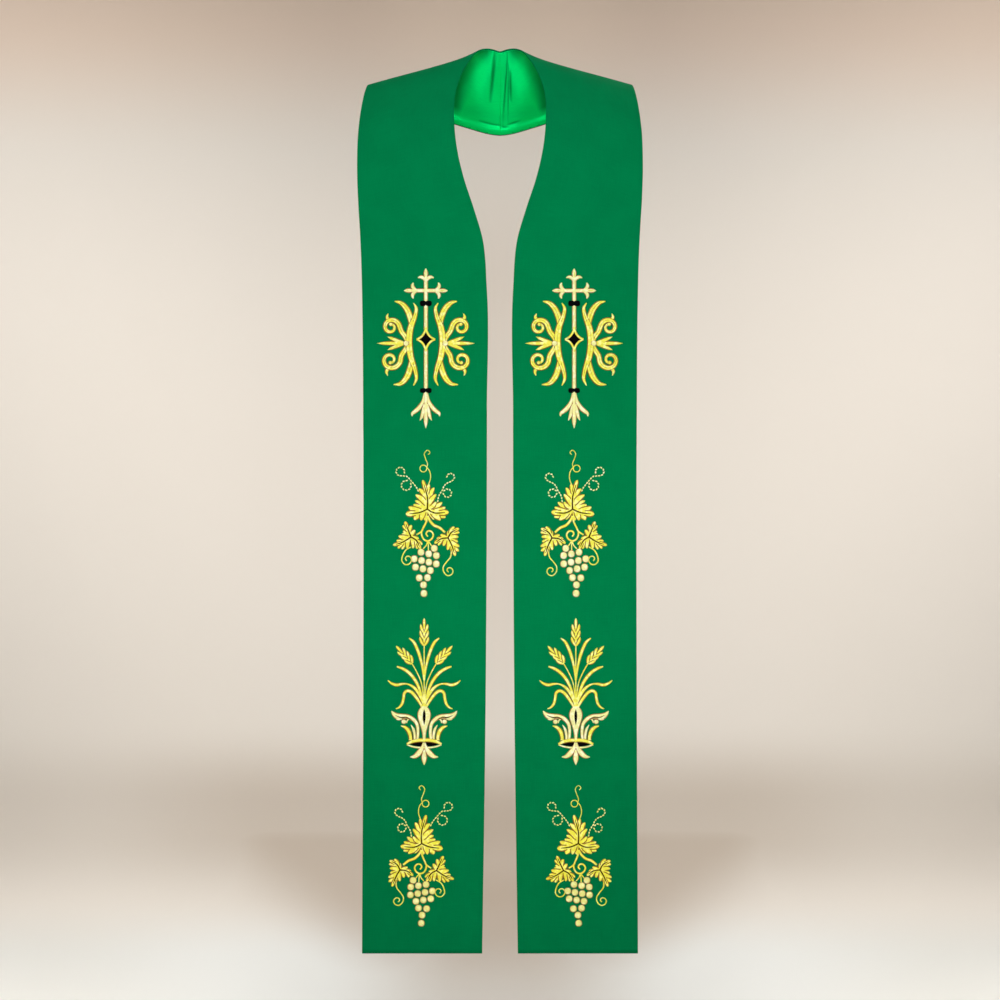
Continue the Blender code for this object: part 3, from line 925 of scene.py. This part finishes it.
def leaf(o, form):
    """The fingers lie over each other by turns; the veins lie on top."""
    veins = []
    for vein in form.veins:
        veins.append(smooth([form.root, (vein.bend_u, vein.bend_v), (vein.tip_u, vein.tip_v)]))
    fingers = [(path, finger) for vein, path in zip(form.veins, veins) for finger in vein.fingers]
    for i, (vein_path, finger) in enumerate(fingers):
        start, ahead = place_on(vein_path, finger.start)
        reach = np.array((finger.tip_u, finger.tip_v)) - start
        middle = start + reach * 0.5 + ahead * np.linalg.norm(reach) * FINGER_BEND
        path = smooth([start, middle, start + reach])
        lift = LEAF_LAYER * (i % 2) + 0.05
        o.gold.row(path, scaled(FINGER, finger.half_width), LEAF_LAYER, lift,
                   outlined=0.14, rim=LEAF_RIM)
    for vein, path in zip(form.veins, veins):
        end, middle, line = ([place_on(path, share)[0] for share in shares] for shares in (
            (0.45, 0.75), (0, 0.3, 0.6), (0, 0.2, 0.4, 0.6, 0.84)))
        o.gold.row(smooth(end + [path[-1]]), scaled(TIP, vein.half_width), LEAF_LAYER,
                   2 * LEAF_LAYER + 0.05, outlined=0.25, rim=LEAF_RIM)
        o.gold.row(middle, ((0, 1.8), (1, vein.half_width * 0.7)), LEAF_LAYER, 2 * LEAF_LAYER,
                   outlined=NEVER)
        o.bronze.row(smooth(line), ((0, 0.85), (0.7, 0.75), (1, 0.3)), 0.45, 3 * LEAF_LAYER + 0.1,
                     columns=5)


# The bunch, row by row: how far down, where the first grape is, how many, their pitch, their sag.
Grapes = namedtuple("Grapes", "v u count pitch sag")
BUNCH = (
    Grapes(-47.2, 8.3, 1, 0, 0),
    Grapes(-51.8, -7.6, 3, 9.2, -2),
    Grapes(-59.8, -15.7, 4, 8.8, -2),
    Grapes(-69.7, -14.2, 3, 8.9, -2),
    Grapes(-82.6, -9.7, 2, 9.9, 0.3),
    Grapes(-91, -4.6, 1, 0, 0),
    Grapes(-101.2, -4.1, 1, 0, 0),
)
GRAPE_WIDE, GRAPE_TALL = 4.25, 4.5


def tendrils(o):
    """Thin curls of gold, and two dotted ones, over the big leaf."""
    fine = ((0, 0.5), (1, 0.55))
    hook = [(1.1, 65.3), (3.2, 67.9), (0.2, 70.7), (-3.6, 66.7), (-2.2, 60.7), (0.2, 54.1)]
    loop = volute((-4.8, 48.7), 4.1, 4.1, 15, -340)
    stem = [(2.4, 46.2), (3.8, 41), (3.6, 36), (0.8, 28)]
    o.gold.row(smooth(np.vstack([hook, loop, stem])), fine, 0.8, columns=5, outlined=NEVER)
    left_hook = volute((-32.4, 45), 5, 5, -12, 274)
    left_stem = [(-28.6, 39.7), (-24.4, 39), (-20.5, 35), (-16.2, 30.1), (-13.3, 26.3),
                 (-11.2, 22.3)]
    right_hook = volute((28, 38.2), 4.5, 4.5, 170, -215)
    right_stem = [(27.8, 32.9), (23.4, 30.8), (20, 27.5), (18.2, 22.9), (15.6, 19.1),
                  (13.6, 15.1), (12.6, 9.7)]
    o.cream.dots(smooth(np.vstack([left_hook, left_stem])))
    o.cream.dots(smooth(np.vstack([right_hook, right_stem])))
    o.cream.dots(volute((-25.3, 28.4), 5.8, 5.8, 20, -295))
    o.cream.dots(volute((24.1, 19.1), 4.9, 4.9, 140, -310))


def stems(o):
    """The stalks between the leaves and the bunch, with three curls."""
    to_left = ((-0.4, -8, 1.3), (-1, -14.3, 1.3), (-4.6, -22.1, 1.2), (-7, -26.9, 1.2),
               (-13, -30.8, 1))
    to_right = ((0.2, -8.3, 1.7), (3.2, -14.3, 1.8), (8, -19.4, 1.9), (15.2, -22.7, 1.8),
                (21.2, -28.1, 1.5))
    knot = ((-7, -26.3, 1.1), (-6.6, -31.7, 1.2), (-4, -36.5, 1.2), (0.8, -38.3, 1.3),
            (5.6, -35.3, 1.2), (7.1, -30.5, 1.1), (4.4, -26.6, 1.1), (0.4, -26.6, 1.1),
            (-1.4, -29.8, 1.1), (0.6, -33, 0.9))
    stroke(o.gold, to_left)
    stroke(o.gold, to_right, height=0.9)
    stroke(o.gold, knot, lift=0.1)
    for to_bunch in (((0.3, -38.9, 0.8), (-1, -43.1, 0.8), (-4.8, -47.5, 0.7)),
                     ((0.9, -38.9, 0.8), (1.2, -44, 0.8), (1.2, -50.6, 0.7)),
                     ((1.4, -38.9, 0.8), (3.2, -41.3, 0.8), (6, -45.6, 0.7))):
        stroke(o.gold, to_bunch, height=0.6)
    left_curl = [(-19.6, -45.5), (-25.6, -49), (-29.8, -56.3), (-30.4, -62.3), (-26.8, -66.4),
                 (-22.2, -66), (-19.2, -61.9), (-20.6, -57.4), (-24.2, -56.6), (-26.4, -59.2),
                 (-24.8, -62.2)]
    right_curl = [(29, -50.5), (27.8, -57.5), (23, -63.5), (19.2, -69.5), (19.8, -75.5),
                  (24.2, -79.8), (29, -78.5), (30.8, -74.3), (28.4, -70.7), (24.8, -70.8),
                  (23.6, -73.6), (25.4, -75.5)]
    for curl in (left_curl, right_curl):
        o.gold.row(smooth(curl), ((0, 0.75), (0.5, 0.7), (1, 0.65)), 0.8, columns=5, outlined=NEVER)


def vine():
    """Leaves, tendrils and a bunch of grapes, drawn from the big leaf's node."""
    o = new_ornament()
    tendrils(o)
    stems(o)
    for form in (LEFT_LEAF, RIGHT_LEAF, BIG_LEAF):
        leaf(o, form)
    for row in BUNCH:
        for i in range(row.count):
            centre = (row.u + i * row.pitch, row.v + i * row.sag)
            o.cream.patch(centre, ellipse(GRAPE_WIDE, GRAPE_TALL, 2.3), 1.5, 0.1, grain=35 + 40 * i)
    return o


# ---------------------------------------------------------------- the wheat

# Grains of an ear on its right side: where each starts on the stalk and where it points.
Grain = namedtuple("Grain", "root_u root_v tip_u tip_v")
MIDDLE_EAR = (
    Grain(0.9, 73, 5.4, 83),
    Grain(0.9, 80.6, 5, 90.8),
    Grain(0.9, 88.2, 4.3, 98.4),
)
SIDE_EAR_TOP = (
    Grain(14.2, 51.6, 16.4, 61.6),
    Grain(18.2, 56, 20.8, 66.2),
    Grain(22.8, 61, 25.8, 70),
)
SIDE_EAR_LOW = (
    Grain(15.2, 50.6, 24, 55.2),
    Grain(19.2, 55, 27.8, 59.8),
    Grain(23.8, 60, 32.4, 65),
)
GRAIN_HALF_WIDTH, GRAIN_HEIGHT, GRAIN_RIM, GRAIN_STEP = 2.25, 0.4, 1.25, 0.6


def grain(o, root, tip, belly, lift):
    """One grain, bowed out by belly to its left."""
    root, tip = np.array(root, dtype=float), np.array(tip, dtype=float)
    out = turned(unit(tip - root), 90)
    middle = (root + tip) / 2 + out * belly
    o.gold.row(smooth([root, middle, tip], GRAIN_STEP), scaled(GRAIN, GRAIN_HALF_WIDTH), GRAIN_HEIGHT,
               lift, step=GRAIN_STEP, rim=GRAIN_RIM)


def ear(o, s, row, bow):
    """One side of an ear: each grain covers the foot of the next."""
    for i, g in enumerate(row):
        lift = GRAIN_HEIGHT * (len(row) - i)
        grain(o, (s * g.root_u, g.root_v), (s * g.tip_u, g.tip_v), s * bow, lift)


def ears(o):
    """A tall ear in the middle and one leaning out on each side, with a grain at each top."""
    core = ((0, 1.4), (1, 1.4))
    o.gold.row([(0, 72), (0, 84), (0, 96)], core, 0.3, 0.1, outlined=NEVER)
    grain(o, (0, 94.4), (0, 105.6), 0, 0.2)
    for s in (-1, 1):
        ear(o, s, MIDDLE_EAR, -0.6)
        leaning = [(s * 14.8, 51), (s * 20.8, 57.8), (s * 27, 64.8)]
        o.gold.row(leaning, core, 0.3, 0.1, outlined=NEVER)
        ear(o, s, SIDE_EAR_TOP, 0.5)
        ear(o, s, SIDE_EAR_LOW, -0.5)
        grain(o, (s * 26.6, 64.2), (s * 33.8, 72.2), 0, 0.2)


def blades(o, s):
    """One side's four long blades, as (u, v, half width)."""
    tall = ((0.3, 31, 0.8), (2.2, 46.8, 1.5), (5, 58.8, 2.1), (8.6, 69, 2.2), (12.8, 77, 1.9),
            (18, 81.4, 0.8))
    middle = ((2, 7.2, 1.3), (6.2, 21.6, 2), (12.2, 33, 2.3), (19.4, 40.8, 2.3),
              (26.6, 45.2, 1.9), (32.8, 47.4, 0.9))
    waved = ((1.4, 3.6, 1.4), (5.6, 13.2, 2.2), (10.4, 20.4, 2.3), (15.8, 24.6, 1.5), (20.6, 26.4, 1),
             (26.6, 26.4, 1.5), (33.2, 25.2, 2.1), (39.2, 27.2, 1.6), (43.6, 30.8, 0.6))
    bowed = ((2.6, -0.6, 1.6), (8.6, 9, 2.2), (15.2, 16.6, 2.3), (20, 18.2, 2.1), (23.6, 15.6, 2),
             (24.8, 9, 1.9), (26.6, 2.4, 1.8), (30.2, -1.8, 1.3), (34, -3.4, 0.6))
    for lift, places in ((0.2, tall), (0.15, middle), (0.1, waved), (0.05, bowed)):
        stroke(o.gold, places, s, lift=lift)


def wheat():
    """Three ears of wheat and their blades, in a leafy ring, drawn from where the stalks meet."""
    o = new_ornament()
    stalk = ((0, 0.8), (1, 0.75))
    stroke(o.gold, ((0, -2, 1.8), (0, 2, 2.6), (0, 7, 2.2)), height=0.4, outlined=NEVER)
    o.gold.row([(0, 1), (0, 38), (0, 76)], stalk, 0.7, 0.3, columns=5)
    ears(o)
    for s in (-1, 1):
        side_stalk = [(s * 0.4, 3), (s * 3.2, 27), (s * 8.8, 40.6), (s * 15.6, 52.6)]
        o.gold.row(smooth(side_stalk), stalk, 0.7, 0.25, columns=5)
        blades(o, s)
        crown_side(o, s)
    bulb = ((0, -0.4, 3.4), (0, -4.5, 6.6), (0, -9.5, 8.2), (0, -14.5, 7.8), (0, -19.5, 6.4),
            (0, -26, 4.2), (0, -34, 2.4), (0, -41, 2))
    stroke(o.cream, bulb, height=1.1, lift=0.45, columns=9)
    slit = ((0, -3.8, 0.2), (0, -8, 1.6), (0, -13, 2), (0, -18, 1.4), (0, -23, 0.2))
    stroke(o.black, slit, height=0.35, lift=1.45, columns=5)
    ring(o)
    fleur_foot(o)
    return o


def crown_side(o, s):
    """One side's leaves over the ring: a long arm with a broad tip, and two short leaves."""
    arm = ((8, -40, 1.8), (7.5, -30, 2), (8.8, -21.6, 2.3), (13.4, -15.8, 2.6),
           (19.4, -12.9, 2.9), (26.4, -12.5, 3.3), (32.4, -12.3, 3.8), (36.4, -9.6, 2.6),
           (39.2, -6, 0.5))
    stroke(o.cream, arm, s, height=0.9, lift=0.3)
    inner = ((15.6, -16, 0.2), (21.8, -13.6, 0.7), (27.6, -13.8, 0.7), (34.4, -11.4, 0.2))
    stroke(o.bronze, inner, s, height=0.25, lift=1.22, columns=5)
    lobe = ((26.6, -15, 1.2), (30.4, -15.6, 1.9), (33.6, -15.4, 1))
    stroke(o.cream, lobe, s, lift=0.2)
    spur = ((18.4, -15.4, 0.9), (20.4, -17.6, 1), (21, -20.4, 0.6))
    stroke(o.cream, spur, s, height=0.7, lift=0.1, columns=5)
    bead = (s * 24.4, -18.8)
    o.cream.patch(bead, ellipse(3.2, 3.1), 1.1, 0.1, spokes=20)
    short = ((16.2, -41, 2.4), (16.6, -36, 2.7), (18.6, -30.2, 2.9), (22.6, -25.8, 2.3),
             (27.8, -23.8, 0.5))
    stroke(o.gold, short, s, height=0.9, lift=0.2)
    pale = ((11.2, -41, 1.6), (11.4, -35, 1.7), (12.8, -28.2, 1.7), (15.9, -22.6, 0.3))
    stroke(o.cream, pale, s, lift=0.2)


def ring(o):
    """The ring: a dark hollow seen between its gold back and its pale front."""
    o.black.patch((0, -45.3), ellipse(18, 3.4, 1.7), 0.2, 0.2, spokes=40, rings=4, grain=0)
    back = ((0, -40.9, 2.7), (7.4, -41.2, 2.7), (14.6, -42.7, 2.5), (20.8, -45.8, 1.4))
    front = ((0, -50, 1.3), (7.4, -49.8, 1.2), (14.6, -48.6, 1.1), (20.8, -46.4, 0.9))
    for s in (-1, 1):
        stroke(o.gold, back, s, height=0.9, lift=0.5)
        stroke(o.cream, front, s, height=0.9, lift=0.4)


def fleur_foot(o):
    """Three petals under the ring."""
    for s in (-1, 1):
        side = ((0.9, -43.8, 0.8), (1.5, -47.6, 1.8), (3.4, -52.2, 3), (6.9, -57, 3.5),
                (11.6, -60.6, 2.6), (16.8, -61.2, 0.5))
        stroke(o.cream, side, s, height=0.9, lift=0.55)
    middle = ((0, -51.6, 0.8), (0, -55.4, 2.4), (0, -59, 3.2), (0, -62.4, 3.5), (0, -66, 2.7),
              (0, -70.8, 0.3))
    stroke(o.cream, middle, height=0.7, lift=0.1)


# ---------------------------------------------------------------- sewing it on

# Each ornament's place on the front: its middle's distance from the centre plane, its height, its
# scale and whether it is turned over. What is under its middle leans out, in radians, and is
# shortened to a share of its height.
Place = namedtuple("Place", "name draw x z scale turned lean under")
PLACES = (
    Place("cross", cross_ornament, 89.0, -334.6, 1.0, False, 0.0, 1.0),
    Place("upper_vine", vine, 87.2, -538.3, 1.0, False, 0.0, 1.0),
    Place("wheat", wheat, 91.0, -774.6, 1.0, False, 0.0, 1.0),
    Place("lower_vine", vine, 94.0, -939.7, 0.985, True, 0.045, 0.956),
)
LEAN_FULL = 20.0  # how far under the middle the lean is full
IN_FRONT = -0.3  # where the rays that find the cloth start, in metres


def sew(place, side, where, tree, materials):
    """Lays an ornament on a face piece. The two halves of the stole mirror each other."""
    flip = (side > 0) != place.turned
    drawn = place.draw()
    for slot, thread in drawn._asdict().items():
        if not thread.count:
            continue
        points = np.vstack(thread.points)
        u, v, heights = points.T
        lean = place.lean * np.clip(-v / LEAN_FULL, 0.0, 1.0)
        u, v = (u - lean * v) * (-1 if flip else 1), v + lean * u
        v = np.maximum(v, place.under * v)
        world = np.empty_like(points)
        ray = Vector((0.0, 1.0, 0.0))
        for i, (right, up, height) in enumerate(zip(u, v, heights)):
            x, z = side * place.x + right * place.scale, place.z + up * place.scale
            start = Vector((x * MM, IN_FRONT, z * MM))
            hit, out, _, _ = tree.ray_cast(start, ray)
            world[i] = hit + out * height * place.scale * MM
        faces = [face[::-1] for face in thread.faces] if flip else thread.faces
        stitch = {"stitch": np.vstack(thread.stitch)}
        mesh = make_mesh(f"{place.name}_{where}_{slot}", world, faces, stitch)
        add_piece(mesh, materials[slot])


def sew_seam(band, face_cloth, satin):
    """The centre back seam, seen on the face and on the lining."""
    inner = FACE_WALL + SEAM_GAP + LINING_WALL
    add_piece(seam_mesh("face_seam", band, 0.0, face_lift), face_cloth)
    add_piece(seam_mesh("lining_seam", band, inner, lining_lift), satin)


def build_stole():
    band = Band()
    face_cloth, satin = face_cloth_material(), lining_material()
    threads = {
        "gold": thread_material("gold_thread", GOLD, PALE_GOLD_GLINT, GOLD_OUTLINE, 1.1, 0.8),
        "cream": thread_material("cream_thread", CREAM, PALE_CREAM_GLINT, CREAM_OUTLINE, 0.95, 0.8),
        "bronze": thread_material("bronze_thread", BRONZE, BRONZE, BRONZE, 0.2, 0.1),
        "black": thread_material("black_thread", BLACK, BLACK, BLACK, 0.3, 0.02),
    }
    sew_seam(band, face_cloth, satin)
    for side, where in ((-1, "left"), (1, "right")):
        mesh = sheet_mesh(f"face_sheet_{where}", band, side, 0.0, FACE_WALL, 0.0,
                          FACE_COLUMNS, face_lift)
        face = add_piece(mesh, face_cloth)
        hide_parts(f"face_{where}")
        depth = FACE_WALL + SEAM_GAP
        mesh = sheet_mesh(f"lining_sheet_{where}", band, side, depth, LINING_WALL, LINING_SET_BACK,
                          LINING_COLUMNS, lining_lift, lining_painted_shade)
        lining = add_piece(mesh, satin)
        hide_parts(f"lining_{where}")
        mesh = slip_mesh(f"slip_stitches_{where}", band, side, depth + LINING_WALL, lining_lift)
        add_piece(mesh, face_cloth)
        tree = BVHTree.FromObject(face, bpy.context.evaluated_depsgraph_get())
        for place in PLACES:
            sew(place, side, where, tree, threads)


# ---------------------------------------------------------------- the studio


def backdrop():
    """A pale floor that sweeps up into a wall, well behind the stole."""
    far, near, floor, top, bend = 3.2, -4.0, -1.24, 3.4, 0.35
    angles = np.linspace(0.0, np.pi / 2, 25)
    profile = [(near, floor)]
    profile += [(far - bend + bend * np.sin(a), floor + bend - bend * np.cos(a)) for a in angles]
    profile.append((far, top))
    points = np.array([(x, y, z) for y, z in profile for x in (-6.0, 6.0)])
    faces = [(2 * i, 2 * i + 1, 2 * i + 3, 2 * i + 2) for i in range(len(profile) - 1)]
    mesh = make_mesh("floor", points, faces, {})
    mesh.materials.append(backdrop_material())
    floor_piece = add_object("floor", mesh)


# Softboxes in front of the stole, high behind it and over the wall: where each stands and aims,
# its size, the angle that its grid lets out, its power in watts, and whether a twin stands on the
# other side.
Lamp = namedtuple("Lamp", "name at aim size grid power twin")
LAMPS = (
    Lamp("key", (0.0, -1.7, 1.1), (0.0, 0.0, -0.2), (0.8, 0.5), 180.0, 7.9, False),
    Lamp("front_high", (0.0, -2.6, 1.1), (0.0, 0.0, -0.5), (0.6, 0.6), 45.0, 1.45, False),
    Lamp("flank", (0.85, -3.3, -0.5), (0.0, 0.0, -0.64), (0.4, 0.5), 40.0, 1.56, True),
    Lamp("shoulder", (1.0, -1.3, 1.3), (0.13, 0.0, 0.02), (0.25, 0.25), 14.0, 0.047, True),
    Lamp("low", (0.0, -2.2, -0.96), (0.0, 0.0, -0.96), (0.3, 0.2), 14.0, 0.038, False),
    Lamp("back", (1.3, 1.6, 0.85), (0.0, 0.0, -0.55), (0.4, 0.4), 45.0, 1.7, False),
    Lamp("wall_up", (1.3, 2.4, 0.35), (0.9, 3.2, -0.15), (0.3, 0.3), 90.0, 0.64, True),
    Lamp("wall_mid", (0.9, 2.0, 0.55), (0.5, 3.2, -0.5), (0.4, 0.4), 50.0, 1.5, True),
    Lamp("wall_centre", (0.0, 2.2, 0.75), (0.0, 3.2, -0.55), (0.8, 0.4), 45.0, 0.8, False),
    Lamp("floor_side", (0.7, 3.08, 1.6), (0.65, 3.08, -1.2), (0.6, 0.08), 30.0, 1.2, True),
    Lamp("floor_back", (0.7, 2.0, -0.3), (0.65, 3.0, -1.3), (0.5, 0.2), 30.0, 0.475, True),
)
ROOM_LIGHT = 0.238


def softbox(lamp, side):
    light = bpy.data.lights.new(lamp.name, "AREA")
    light.shape = "RECTANGLE"
    light.size, light.size_y = lamp.size
    light.spread = np.radians(lamp.grid)
    light.energy = lamp.power
    stand = add_object(lamp.name, light)
    at, aim = (Vector((side * x, y, z)) for x, y, z in (lamp.at, lamp.aim))
    stand.location = at
    stand.rotation_euler = (aim - at).to_track_quat("-Z", "Y").to_euler()


def studio():
    scene = bpy.context.scene
    scene.view_settings.view_transform = "Standard"
    world = bpy.data.worlds.new("studio")
    world.use_nodes = True
    world.node_tree.nodes["Background"].inputs["Color"].default_value = (1.0, 1.0, 1.0, 1.0)
    world.node_tree.nodes["Background"].inputs["Strength"].default_value = ROOM_LIGHT
    scene.world = world
    for lamp in LAMPS:
        for side in (1, -1) if lamp.twin else (1,):
            softbox(lamp, side)


def camera():
    """Square on to the front, with sizes in metres."""
    framed, centre_x, centre_z, distance = 1.2, 0.0, -0.5274, 3.0
    data = bpy.data.cameras.new("camera")
    data.type = "ORTHO"
    data.ortho_scale = framed
    view = add_object("camera", data)
    view.location = (centre_x, -distance, centre_z)
    view.rotation_euler = (np.pi / 2, 0.0, 0.0)
    bpy.context.scene.camera = view


build_stole()
backdrop()
studio()
camera()
